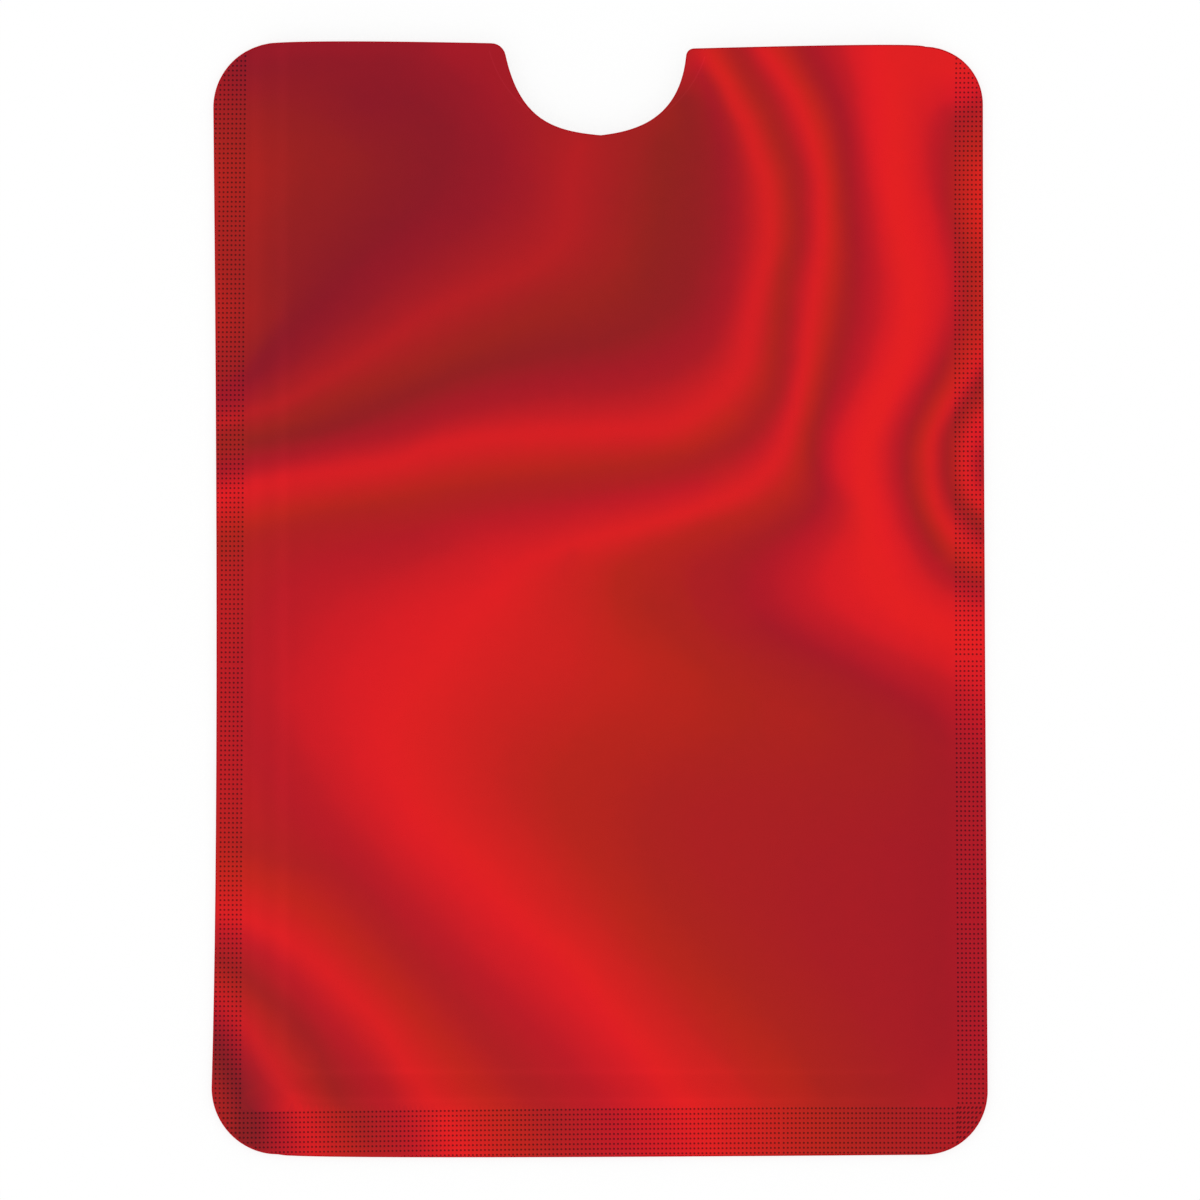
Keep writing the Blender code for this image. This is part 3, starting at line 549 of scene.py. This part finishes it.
def sampled(grid, spots):
    place = (spots - sheenGrid["low"]) / sheenGrid["step"]
    place = np.clip(place, 0, np.array(grid.shape[::-1]) - 1.001)  # just short of the last cell
    i, j = place[:, 0].astype(int), place[:, 1].astype(int)
    u, v = place[:, 0] - i, place[:, 1] - j
    upper = grid[j, i] * (1 - u) + grid[j, i + 1] * u
    lower = grid[j + 1, i] * (1 - u) + grid[j + 1, i + 1] * u
    return upper * (1 - v) + lower * v


light, warm = drawn(lightStrokes), drawn(warmStrokes)
calmLight = softened(light, sheenGrid["calmBlurs"])
print("sheen drawn", light.shape)


# Shape of the front web: flat margin, S-shaped flank, panel with shallow waves
def cornerRadii(share):
    return [pocket["corner"] + pocket[flank] * (1 - share) for flank in ("sideFlank", "footFlank")]


def flankShare(p):  # 0 where the flank leaves the weld, 1 where it reaches the panel
    u, y = np.abs(p[:, 0] - pocket["centre"]), p[:, 1]
    straight = np.minimum((flankHalf - u) / pocket["sideFlank"], (y - flankFoot) / pocket["footFlank"])
    low, high = np.zeros(len(p)), np.ones(len(p))
    for _ in range(pocket["halvings"]):
        middle = (low + high) / 2
        wide, deep = cornerRadii(middle)
        outside = ((u - cornerSide) / wide) ** 2 + ((cornerTop - y) / deep) ** 2 > 1
        low, high = np.where(outside, low, middle), np.where(outside, middle, high)
    return np.where((u > cornerSide) & (y < cornerTop), low, straight)


def lift(p):
    share = np.clip(flankShare(p), 0, 1)
    dip = pocket["waves"] * (1 - sampled(calmLight, inPicture(p)))
    return (pocket["rise"] - dip) * (1 - np.cos(math.pi * share)) / 2


def lifted(base):
    return lambda p: base + lift(p)


def pocketLine(share, spacing):
    wide, deep = cornerRadii(share)
    side = np.arange(filmHigh[1] + pocket["overrun"], cornerTop, -spacing)
    turn = np.radians(np.linspace(180, 270, pocket["cornerSteps"]))
    left = np.stack([np.full(len(side), -cornerSide - wide), side], 1)
    bend = np.stack([-cornerSide + wide * np.cos(turn), cornerTop + deep * np.sin(turn)], 1)
    x = np.arange(-cornerSide, cornerSide, spacing)[1:-1]
    foot = np.stack([x, np.full(len(x), cornerTop - deep)], 1)
    half = np.concatenate([left, bend])
    return np.concatenate([half, foot, (half * (-1, 1))[::-1]]) + (pocket["centre"], 0)


# Trimmed edges, taken from the solids and drawn as smooth curves
trim = {
    "spacing": 0.25, "fineSpacing": 0.05, "linerSpacing": 0.4,
    "facing": 0.3,  # least upward share of a face's normal, for the face to count as the sheet's own
    "uneven": 2.5, "sharp": 0.86, "straight": 2,  # ratio of lengths, cosine, and length of a straight side
}


def borderOf(faces):
    edges = np.concatenate([faces[:, [0, 1]], faces[:, [1, 2]], faces[:, [2, 0]]])
    key = np.sort(edges, 1) @ (1 << 32, 1)
    _, first, counts = np.unique(key, return_index=True, return_counts=True)
    onward = dict(edges[first[counts == 1]].tolist())
    loop = [min(onward)]
    while onward[loop[-1]] != loop[0]:
        loop.append(onward[loop[-1]])
    return np.array(loop)


def trimmedEdge(node, facing):
    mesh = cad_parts[node].data
    mesh.calc_loop_triangles()
    places = np.array([v.co[:] for v in mesh.vertices]) * perMetre
    spots, index = np.unique(np.round(places, 3), axis=0, return_inverse=True)
    faces = index.ravel()[np.array([t.vertices[:] for t in mesh.loop_triangles])]
    a, b, c = spots[faces[:, 0]], spots[faces[:, 1]], spots[faces[:, 2]]
    normal = np.cross(b - a, c - a)
    normal /= np.linalg.norm(normal, axis=1)[:, None] + 1e-12
    loop = borderOf(faces[normal[:, 2] * facing > trim["facing"]])
    return spots[loop][::facing, :2]


def smoothEdge(corners, spacing):
    onward = np.roll(corners, -1, 0) - corners
    after = np.hypot(*onward.T)[:, None]
    before = np.roll(after, 1, 0)
    ahead, behind = onward / after, np.roll(onward / after, 1, 0)
    slope = (ahead * before + behind * after) / (before + after)
    slope = np.where(after > trim["uneven"] * before, ahead, slope)
    slope = np.where(before > trim["uneven"] * after, behind, slope)
    sharp = (ahead * behind).sum(1)[:, None] < trim["sharp"]  # a real corner keeps its two directions
    leaving, arriving = np.where(sharp, ahead, slope), np.where(sharp, behind, slope)
    pieces = []
    for i in range(len(corners)):
        j, reach = (i + 1) % len(corners), after[i, 0]
        count = max(int(round(reach / spacing)), 1)
        t = (np.arange(count) / count)[:, None]
        if reach > trim["straight"]:
            pieces.append(corners[i] + onward[i] * t)
            continue
        pieces.append(
            corners[i] * (2 * t ** 3 - 3 * t ** 2 + 1) + leaving[i] * reach * (t ** 3 - 2 * t ** 2 + t)
            + corners[j] * (3 * t ** 2 - 2 * t ** 3) + arriving[j] * reach * (t ** 3 - t ** 2)
        )
    return np.concatenate(pieces)


def insetLine(edge, inset):
    onward = np.roll(edge, -1, 0) - np.roll(edge, 1, 0)
    onward /= np.hypot(*onward.T)[:, None]
    return edge + np.stack([-onward[:, 1], onward[:, 0]], 1) * inset


def closed(line):
    return np.concatenate([line, line[:1]])


def nearest(places):
    tree = KDTree(len(places))
    for i, p in enumerate(places):
        tree.insert((p[0], p[1], 0), i)
    tree.balance()

    def find(points):
        found = np.array([tree.find((p[0], p[1], 0))[1:] for p in points])
        return found[:, 0].astype(int), found[:, 1]

    return find


def insideOf(edge, points):
    inside = np.zeros(len(points), bool)
    for a, b in zip(edge, np.roll(edge, -1, 0)):
        if a[1] != b[1]:
            crosses = (a[1] > points[:, 1]) != (b[1] > points[:, 1])
            inside ^= crosses & (points[:, 0] < (b[0] - a[0]) * (points[:, 1] - a[1]) / (b[1] - a[1]) + a[0])
    return inside


def clearOf(edge, points, gap):
    points = points[insideOf(edge, points)]
    return points[nearest(edge)(points)[1] > gap]


# Pressed dots of the welds, in rows that the sealing bars left: sizes in mm, places and pitches in pixels
dots = {
    "radius": 0.09, "depth": 0.035, "clearOfEdge": 0.085, "smallest": 0.04, "sides": 8, "marked": 0.98,
    "sidePitch": 4.83, "footPitch": 4.93, "columnPitch": 4.1, "footColumnPitch": 4.02,
    "sideColumns": 10, "footRows": 11, "aboveFoot": 3, "runEnd": 0.6,
    "leftColumn": (
        [56, 150, 250, 400, 550, 700, 850, 1000, 1080],
        [245.5, 244.4, 243.9, 243.1, 242.6, 242.0, 241.2, 240.7, 240.3],
    ),
    "rightColumn": (
        [60, 150, 250, 400, 550, 700, 850, 1000, 1080],
        [956.2, 955.4, 955.2, 955.2, 955.8, 956.3, 957.1, 958.0, 958.4],
    ),
    "footRow": (
        [250, 300, 350, 420, 500, 600, 700, 800, 920, 950],
        [1112.9, 1112.3, 1111.8, 1111.0, 1110.2, 1109.2, 1108.7, 1108.1, 1108.1, 1108.3],
    ),
    "leftRuns": [56.2, 143.9, 406.0, 668.2, 928.8, 1165],
    "rightRuns": [58.8, 136.6, 398.2, 661.3, 924.1, 1165],
    "footRuns": [219.7, 565.75, 783.7, 959.4, 985],
    "leftCorner": 242, "leftCornerSize": (1.15, 1.15),
    "rightCorner": 956, "struckSize": (1.6, 0.95), "struckShift": (0.75, -0.75),  # struck twice there
}


def runsOf(starts, pitch):
    ends = [stop - pitch * dots["runEnd"] for stop in starts[1:]]
    return np.concatenate([np.arange(start, end, pitch) for start, end in zip(starts, ends)])


def pressedDots(edge):
    found = []
    for side, outwards in (("left", -1), ("right", 1)):
        for y in runsOf(dots[side + "Runs"], dots["sidePitch"]):
            inner = np.interp(y, *dots[side + "Column"])
            step = outwards * dots["columnPitch"]
            found += [(inner + step * k, y, 1, 1) for k in range(dots["sideColumns"])]
    found = [d for d in found if d[1] < np.interp(d[0], *dots["footRow"]) - dots["aboveFoot"]]
    for x in runsOf(dots["footRuns"], dots["footColumnPitch"]):
        size, (right, down) = (1, 1), (0, 0)
        if x < dots["leftCorner"]:
            size = dots["leftCornerSize"]
        elif x > dots["rightCorner"]:
            size, (right, down) = dots["struckSize"], dots["struckShift"]
        first = np.interp(x, *dots["footRow"]) + down
        found += [(x + right, first + dots["footPitch"] * k, *size) for k in range(dots["footRows"])]
    found = np.array(found)
    centres = onSleeve(found[:, :2])
    radius = np.minimum(dots["radius"], nearest(edge)(centres)[1] - dots["clearOfEdge"])
    kept = insideOf(edge, centres) & (radius > dots["smallest"])
    return centres[kept], radius[kept, None] * found[kept, 2:]


def slanted(offset):  # a dot's own long and short directions lie at 45 degrees
    return offset @ np.array([[1, -1], [1, 1]]) * math.sqrt(0.5)


def dotPoints(centres, radii):
    turn = np.arange(dots["sides"]) * 2 * math.pi / dots["sides"]
    long, wide = radii[:, :1] * np.cos(turn), radii[:, 1:] * np.sin(turn)
    ring = centres[:, None] + np.stack([long - wide, long + wide], -1) * math.sqrt(0.5)
    return np.concatenate([centres, ring.reshape(-1, 2)])


def wellDepth(centres, radii):
    wells, reach = nearest(centres), radii.max(1)

    def depth(p):
        own, gap = wells(p)
        return dots["depth"] * np.clip(1 - gap / reach[own], 0, 1)

    return depth


# Sheets: each is a shown side, a hidden side and the cut edge between them
sheet = {"merge": 0.001, "crease": 40, "rimWidth": 0.10, "rimShadingWidth": 0.09, "rimDrop": 0.02}
# Along this line the front film is painted lighter, a painted highlight of the imprint the cut leaves.
hairline = {  # the back wall's own thumb cut, which shows through the front as a faint line
    "centre": (598, 22.8), "radius": 112.2, "turns": [(165.2, 128), (17.9, 52)], "width": 0.035, "steps": 24,
}
frontEdge = smoothEdge(trimmedEdge("front_film", 1), trim["spacing"])
backEdge = smoothEdge(trimmedEdge("back_film", -1), trim["spacing"])


def laid(rim, lines, points):
    spots, edges = [*rim], [(i, (i + 1) % len(rim)) for i in range(len(rim))]
    for line in lines:
        edges += [(len(spots) + i, len(spots) + i + 1) for i in range(len(line) - 1)]
        spots += [*line]
    spots += [*points]
    outline, insideOnly, closest = [list(range(len(rim)))], 1, 1e-6
    made = geometry.delaunay_2d_cdt([Vector(p) for p in spots], edges, outline, insideOnly, closest)
    return np.array(made[0]), np.array(made[2])


def gridInside(edge, spacing, clear):
    x = np.arange(filmLow[0], filmHigh[0], spacing)
    y = np.arange(filmLow[1], filmHigh[1], spacing)
    return clearOf(edge, np.stack(np.meshgrid(x, y), -1).reshape(-1, 2), clear)


def rimDrop(edge):
    distance = nearest(edge)
    return lambda p: sheet["rimDrop"] * np.clip(1 - distance(p)[1] / sheet["rimWidth"], 0, 1)


def ply(name, shown, hidden, shownHeight, hiddenHeight):
    (spots, faces), (rear, rearFaces) = shown, hidden
    loop = borderOf(faces)
    rim = spots[loop]
    count, far = len(loop), len(spots) + len(rear)
    after = np.roll(np.arange(count), -1)
    walls = np.stack([loop, loop[after], far + after, far + np.arange(count)], 1)
    places = np.concatenate([
        np.column_stack([spots, shownHeight(spots)]), np.column_stack([rear, hiddenHeight(rear)]),
        np.column_stack([rim, hiddenHeight(rim)]),
    ])
    mesh = bpy.data.meshes.new(name)
    mesh.from_pydata(places.tolist(), [], faces.tolist() + (rearFaces + len(spots)).tolist() + walls.tolist())
    work = bmesh.new()
    work.from_mesh(mesh)
    bmesh.ops.remove_doubles(work, verts=work.verts, dist=sheet["merge"])
    bmesh.ops.delete(work, geom=[v for v in work.verts if not v.link_faces], context="VERTS")
    bmesh.ops.recalc_face_normals(work, faces=work.faces)
    bmesh.ops.scale(work, vec=[1 / perMetre] * 3, verts=work.verts)
    work.to_mesh(mesh)
    work.free()
    mesh.shade_smooth()
    mesh.set_sharp_from_angle(angle=math.radians(sheet["crease"]))
    piece = bpy.data.objects.new(name, mesh)
    bpy.context.scene.collection.objects.link(piece)
    return piece


def plainPly(name, web, kind):
    base = plies[kind + "Base"]
    return ply(name, web, web, lifted(base + plies[kind]), lifted(base))


def hairlineArcs():
    centre, arcs = onSleeve(hairline["centre"]), []
    for ends in hairline["turns"]:
        turn = np.radians(np.linspace(*ends, hairline["steps"]))
        for shift in (-1, 0, 1):
            reach = hairline["radius"] * picture["pixel"] + shift * hairline["width"]
            arcs.append(centre + reach * np.stack([np.cos(turn), -np.sin(turn)], 1))
    return arcs


def onHairline(spots):
    across = spots - onSleeve(hairline["centre"])
    turn = np.degrees(np.arctan2(-across[:, 1], across[:, 0]))
    within = [(turn > min(ends)) & (turn < max(ends)) for ends in hairline["turns"]]
    offLine = np.abs(np.hypot(*across.T) - hairline["radius"] * picture["pixel"])
    return (offLine < hairline["width"]) & np.any(within, 0)


def sheenOn(piece, edge, centres, radii, facing):
    mesh = piece.data
    faces, corners = len(mesh.polygons), len(mesh.loops)
    co, owner, total = np.empty(len(mesh.vertices) * 3), np.empty(corners, int), np.empty(faces, int)
    middle, normal = np.empty(faces * 3), np.empty(faces * 3)
    mesh.vertices.foreach_get("co", co)
    mesh.loops.foreach_get("vertex_index", owner)
    mesh.polygons.foreach_get("loop_total", total)
    mesh.polygons.foreach_get("center", middle)
    mesh.polygons.foreach_get("normal", normal)
    co, middle = co.reshape(-1, 3)[:, :2] * perMetre, middle.reshape(-1, 3)[:, :2] * perMetre
    up = normal.reshape(-1, 3)[:, 2]
    upright, outer = np.abs(up) < trim["facing"], up * facing > trim["facing"]
    shift = np.zeros((faces, 2))
    side = np.abs(middle[:, 0] - pocket["centre"]) > pocket["half"]
    shift[(middle[:, 1] < pocket["foot"]) & ~side] = sheenGrid["footShift"]
    places = inPicture(co[owner]) + np.repeat(shift, total, 0)
    own = nearest(centres)(middle)[0]
    # Pressed dots get painted shade in their pits, and more roughness.
    dotShadeAndRoughness = (np.hypot(*(slanted(middle - centres[own]) / radii[own]).T) < dots["marked"]) & outer
    # Painted shading: a strip along the rounded rim on top, and the cut edge faces, get a deep red.
    edgeColourAndShading = (nearest(edge)(middle)[1] < sheet["rimShadingWidth"]) | upright
    # Painted highlight: a thin lighter line along the hairline arcs.
    hairlineHighlight = onHairline(middle) & outer & (facing > 0)
    # sheen holds the painted reflection bands; marks holds the painted shade of dots and rim and the
    # hairline's painted highlight.
    for title, channels in (
        ("sheen", (sampled(light, places), sampled(warm, places), np.zeros(corners))),
        ("marks", [np.repeat(mark, total) for mark in (dotShadeAndRoughness, edgeColourAndShading, hairlineHighlight)]),
    ):
        layer = mesh.attributes.new(title, "FLOAT_COLOR", "CORNER")
        layer.data.foreach_set("color", np.stack([*channels, np.ones(corners)], 1).astype(np.float32).ravel())


frontWeb = {
    "spacing": 0.45, "clear": 0.35, "panelFrom": 1.08, "flankSteps": 9, "flankClear": 0.12,
    "hiddenSpacing": 1.0, "hiddenClear": 0.6, "hiddenMargin": -0.15, "hiddenPanel": 1.15, "linerClear": 0.2,
}


def shapeFront():
    fineEdge, inner = smoothEdge(frontEdge, trim["fineSpacing"]), insetLine(frontEdge, sheet["rimWidth"])
    centres, radii = pressedDots(fineEdge)
    depth, drop = wellDepth(centres, radii), rimDrop(fineEdge)
    spacing, stepCount = frontWeb["spacing"], frontWeb["flankSteps"]
    panel = gridInside(frontEdge, spacing, frontWeb["clear"])
    panel = panel[flankShare(panel) > frontWeb["panelFrom"]]
    steps = np.concatenate([pocketLine(k / stepCount, spacing) for k in range(1, stepCount)])
    steps = clearOf(inner, steps, frontWeb["flankClear"])
    lines = [closed(inner), pocketLine(0, spacing), pocketLine(1, spacing), *hairlineArcs()]
    shown = laid(frontEdge, lines, np.concatenate([dotPoints(centres, radii), steps, panel]))
    coarse = gridInside(frontEdge, frontWeb["hiddenSpacing"], frontWeb["hiddenClear"])
    share = flankShare(coarse)
    coarse = coarse[(share > frontWeb["hiddenPanel"]) | (share < frontWeb["hiddenMargin"])]
    plain = np.concatenate([coarse, steps])
    under = laid(shown[0][borderOf(shown[1])], [], plain)
    raised = lifted(plies["filmBase"] + plies["film"])
    film = ply("frontFilm", shown, under, lambda p: raised(p) - depth(p) - drop(p), lifted(plies["filmBase"]))
    sheenOn(film, fineEdge, centres, radii, 1)
    foil = plainPly("frontFoil", laid(frontEdge, [], plain), "foil")
    linerEdge = smoothEdge(trimmedEdge("front_liner", 1), trim["linerSpacing"])
    inside = clearOf(linerEdge, plain, frontWeb["linerClear"])
    liner = plainPly("frontLiner", laid(linerEdge, [], inside), "liner")
    return film, foil, liner


backWeb = {"spacing": 0.8, "clear": 0.4, "panelFrom": 0.2, "hiddenSpacing": 2.0, "hiddenClear": 0.8}


def shapeBack():
    fineEdge, inner = smoothEdge(backEdge, trim["fineSpacing"]), insetLine(backEdge, sheet["rimWidth"])
    centres, radii = pressedDots(fineEdge)
    depth, drop = wellDepth(centres, radii), rimDrop(fineEdge)
    field = gridInside(backEdge, backWeb["spacing"], backWeb["clear"])
    field = field[flankShare(field) > backWeb["panelFrom"]]
    lines = [closed(inner), pocketLine(0, frontWeb["spacing"])]
    shown = laid(backEdge, lines, np.concatenate([dotPoints(centres, radii), field]))
    plain = gridInside(backEdge, backWeb["hiddenSpacing"], backWeb["hiddenClear"])
    over = laid(shown[0][borderOf(shown[1])], [], plain)
    film = ply(
        "backFilm", shown, over,
        lambda p: depth(p) + drop(p), lambda p: np.full(len(p), plies["film"]),
    )
    sheenOn(film, fineEdge, centres, radii, -1)
    return film


frontFilm, frontFoil, frontLiner = shapeFront()
print("front web", [len(p.data.polygons) for p in (frontFilm, frontFoil, frontLiner)])
backFilm = shapeBack()
print("back web", len(backFilm.data.polygons))


# Materials
class Wire:
    def __init__(self, look, socket):
        self.look, self.socket = look, socket

    def maths(self, operation, first, second):
        return self.look.add("ShaderNodeMath", {"operation": operation}, {0: first, 1: second})

    def __add__(self, other):
        return self.maths("ADD", self, other)

    def __radd__(self, other):
        return self.maths("ADD", other, self)

    def __sub__(self, other):
        return self.maths("SUBTRACT", self, other)

    def __rsub__(self, other):
        return self.maths("SUBTRACT", other, self)

    def __mul__(self, other):
        return self.maths("MULTIPLY", self, other)

    def __rmul__(self, other):
        return self.maths("MULTIPLY", other, self)


class Look:
    def __init__(self, name, values):
        self.material = bpy.data.materials.new(name)
        self.material.use_nodes = True
        self.tree = self.material.node_tree
        self.shader = self.tree.nodes["Principled BSDF"]
        for socket, value in values.items():
            self.set(socket, value)

    def set(self, name, value):
        self.plug(self.shader.inputs[name], value)

    def plug(self, socket, value):
        if isinstance(value, Wire):
            self.tree.links.new(value.socket, socket)
        else:
            socket.default_value = value

    def add(self, kind, settings, sockets, output=0):
        node = self.tree.nodes.new(kind)
        for name, value in settings.items():
            if name == "stops":
                ramp = node.color_ramp
                while len(ramp.elements) < len(value):
                    ramp.elements.new(0.5)
                for element, (place, colour) in zip(ramp.elements, value):
                    element.position, element.color = place, (*colour, 1)
            else:
                setattr(node, name, value)
        for socket, value in sockets.items():
            self.plug(node.inputs[socket], value)
        return Wire(self, node.outputs[output])

    def noise(self, scale, stretch=(1, 1, 1), detail=2):
        place = self.add("ShaderNodeTexCoord", {}, {}, "Object")
        place = self.add("ShaderNodeVectorMath", {"operation": "MULTIPLY"}, {0: place, 1: stretch})
        return self.add("ShaderNodeTexNoise", {}, {"Vector": place, "Scale": scale, "Detail": detail})

    def mixed(self, share, a, b, blend="MIX"):
        settings = {"data_type": "RGBA", "blend_type": blend}
        return self.add("ShaderNodeMix", settings, {0: share, 6: a, 7: b}, 2)

    def tinted(self, share, colour, tint):
        return self.mixed(share, colour, self.mixed(1.0, colour, tint, "MULTIPLY"))

    def relief(self, strength, distance, height):
        bump = self.add("ShaderNodeBump", {}, {"Strength": strength, "Distance": distance, "Height": height})
        self.set("Normal", bump)

    def channels(self, attribute, count):
        colour = self.add("ShaderNodeAttribute", {"attribute_name": attribute}, {}, "Color")
        return [self.add("ShaderNodeSeparateColor", {}, {"Color": colour}, i) for i in range(count)]


def linear(*levels):
    shares = [level / 255 for level in levels]
    return tuple(s / 12.92 if s <= 0.04045 else ((s + 0.055) / 1.055) ** 2.4 for s in shares)


redFilm = {
    # The dusk-to-glow levels turn the painted reflection bands into base colour.
    "dusk": 128, "glow": 105, "ground": 33, "swing": 7, "stops": 5,  # screen levels, cold to warm by swing
    "tint": (1, 0.4, 0.4, 1),  # keeps the film red where it is seen at a low angle
    # line: painted highlight along the hairline.
    # rim: painted shading of the rounded edge, also the colour of the cut edge faces.
    "rim": (*linear(168, 6, 18), 1), "rimShadingShare": 0.75, "line": (1.1, 1.3, 1.3, 1),
    # dot: painted shade in the pits of the pressed dots.
    "dot": (0.3, 0.6, 0.65, 1), "dotRoughness": 0.15, "roughness": 0.28, "cloud": 0.08, "cloudScale": 300,
    "grain": 0.05, "grainScale": 900, "reliefScale": 5000, "relief": 0.00001, "reliefStrength": 0.15,
}


def redFilmLook():
    look = Look("redFilm", {"Metallic": 1.0, "Specular Tint": redFilm["tint"]})
    # Painted reflection: the sheen's light and warmth pick the base colour from the ramps below.
    tone, warmth = look.channels("sheen", 2)
    dot, edgeColourAndShading, line = look.channels("marks", 3)
    tone = tone + (look.noise(redFilm["grainScale"], detail=4) - 0.5) * redFilm["grain"]
    shades = []
    for swing in (-redFilm["swing"], redFilm["swing"]):
        stops = []
        for place in [k / redFilm["stops"] for k in range(redFilm["stops"] + 1)]:
            red = redFilm["dusk"] + redFilm["glow"] * place
            stops.append((place, linear(red, redFilm["ground"] + swing, redFilm["ground"] - swing)))
        shades.append(look.add("ShaderNodeValToRGB", {"stops": stops}, {"Fac": tone}))
    # Painted highlight along the hairline: the base colour is lifted there.
    colour = look.tinted(line, look.mixed(warmth, *shades), redFilm["line"])
    # Painted shading along the rounded rim, with the cut edge faces in the same deep red.
    colour = look.mixed(edgeColourAndShading * redFilm["rimShadingShare"], colour, redFilm["rim"])
    # Painted shade in the pressed dots: the base colour is darkened there.
    look.set("Base Color", look.tinted(dot, colour, redFilm["dot"]))
    cloud = (look.noise(redFilm["cloudScale"]) - 0.5) * redFilm["cloud"]
    look.set("Roughness", redFilm["roughness"] + cloud + dot * redFilm["dotRoughness"])
    look.relief(redFilm["reliefStrength"], redFilm["relief"], look.noise(redFilm["reliefScale"]))
    return look.material


brushedFoil = {
    "base": (0.74, 0.74, 0.77, 1), "other": (0.86, 0.86, 0.87, 1), "metallic": 1.0, "roughness": 0.32,
    "scale": 2500, "stretch": (1, 0.08, 1), "relief": 0.000006,
}
milkyLiner = {
    "base": (0.74, 0.73, 0.70, 1), "other": (0.82, 0.81, 0.78, 1), "metallic": 0.0, "roughness": 0.45,
    "scale": 1200, "stretch": (1, 1, 1), "relief": 0.000008,
}
meltedWeld = {
    "base": (0.64, 0.60, 0.56, 1), "other": (0.76, 0.73, 0.69, 1), "metallic": 0.0, "roughness": 0.52,
    "scale": 1800, "stretch": (1, 1, 1), "relief": 0.00002,
}
plainGrain = {"detail": 4, "cloudScale": 0.4, "cloud": 0.2, "reliefStrength": 0.3}


def plainLook(name, finish):
    look = Look(name, {"Metallic": finish["metallic"]})
    grain = look.noise(finish["scale"], finish["stretch"], plainGrain["detail"])
    look.set("Base Color", look.mixed(grain, finish["base"], finish["other"]))
    cloud = look.noise(finish["scale"] * plainGrain["cloudScale"], finish["stretch"])
    look.set("Roughness", finish["roughness"] + (cloud - 0.5) * plainGrain["cloud"])
    look.relief(plainGrain["reliefStrength"], finish["relief"], grain)
    return look.material


looks = {
    "red_film": redFilmLook(),
    "shield_foil": plainLook("brushedFoil", brushedFoil),
    "liner_film": plainLook("milkyLiner", milkyLiner),
    "weld": plainLook("meltedWeld", meltedWeld),
}
for piece, slot, node in (
    (frontFilm, "red_film", "front_film"), (frontFoil, "shield_foil", "front_shield"),
    (frontLiner, "liner_film", "front_liner"), (backFilm, "red_film", "back_film"),
):
    piece.data.materials.append(looks[slot])
    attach(piece, "root")
    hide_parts(node)
for node, slot in (
    ("back_shield", "shield_foil"), ("back_liner", "liner_film"),
    ("left_seal", "weld"), ("right_seal", "weld"), ("bottom_seal", "weld"),
):
    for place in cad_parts[node].material_slots:
        place.material = looks[slot]
print("materials made")


# Floor, light and camera, in metres
studio = {
    "floorDrop": 0.0002, "floorSize": 3.0, "floorColour": (0.9, 0.9, 0.9, 1),
    "floorGlow": 1.12, "floorShare": 0.72, "world": 0.75,
    "lamp": 0.5, "lampSize": 1.2, "lampPlace": (-0.6, -0.4, 1.3),
    "cameraHeight": 1.2, "sensor": 36, "clip": (0.01, 10),
}


def seenDirectly(tree):  # 1 where the camera or a mirrored or see-through ray meets it
    rays = tree.nodes.new("ShaderNodeLightPath")
    seen = rays.outputs["Is Camera Ray"]
    for name in ("Is Glossy Ray", "Is Transmission Ray"):
        both = tree.nodes.new("ShaderNodeMath")
        both.operation = "MAXIMUM"
        tree.links.new(seen, both.inputs[0])
        tree.links.new(rays.outputs[name], both.inputs[1])
        seen = both.outputs[0]
    return seen


def makeFloor():
    bpy.ops.mesh.primitive_plane_add(size=studio["floorSize"], location=(0, 0, -studio["floorDrop"]))
    floor = bpy.context.object
    floor.name = "studioFloor"
    look = Look("studioFloor", {
        "Base Color": studio["floorColour"], "Roughness": 1.0, "Specular IOR Level": 0.0,
    })
    share = Wire(look, seenDirectly(look.tree)) * studio["floorShare"]
    glow = look.add("ShaderNodeEmission", {}, {"Color": (1, 1, 1, 1), "Strength": studio["floorGlow"]})
    matt = Wire(look, look.shader.outputs[0])
    blend = look.add("ShaderNodeMixShader", {}, {0: share, 1: matt, 2: glow})
    look.plug(look.tree.nodes["Material Output"].inputs["Surface"], blend)
    floor.data.materials.append(look.material)


def makeWorld():
    world = bpy.data.worlds.new("studio")
    bpy.context.scene.world = world
    world.use_nodes = True
    tree = world.node_tree
    back = tree.nodes["Background"]
    back.inputs["Color"].default_value = (1, 1, 1, 1)
    level = tree.nodes.new("ShaderNodeMapRange")
    level.inputs["To Min"].default_value = studio["world"]
    level.inputs["To Max"].default_value = 1.0
    tree.links.new(seenDirectly(tree), level.inputs["Value"])
    tree.links.new(level.outputs[0], back.inputs["Strength"])


def makeLamp():
    lamp = bpy.data.objects.new("softLamp", bpy.data.lights.new("softLamp", "AREA"))
    lamp.data.energy, lamp.data.size = studio["lamp"], studio["lampSize"]
    lamp.location = studio["lampPlace"]
    lamp.rotation_euler = (-lamp.location).to_track_quat("-Z", "Y").to_euler()
    bpy.context.scene.collection.objects.link(lamp)


def makeCamera():
    width = picture["side"] * picture["pixel"] / perMetre
    middle = onSleeve((picture["side"] / 2, picture["side"] / 2)) / perMetre
    camera = bpy.data.objects.new("camera", bpy.data.cameras.new("camera"))
    camera.data.sensor_width = studio["sensor"]
    camera.data.lens = studio["sensor"] * studio["cameraHeight"] / width
    camera.location = (*middle, studio["cameraHeight"])
    camera.data.clip_start, camera.data.clip_end = studio["clip"]
    bpy.context.scene.collection.objects.link(camera)
    bpy.context.scene.camera = camera


makeFloor()
makeWorld()
makeLamp()
makeCamera()
bpy.context.scene.view_settings.view_transform = "Standard"

print("scene ready")
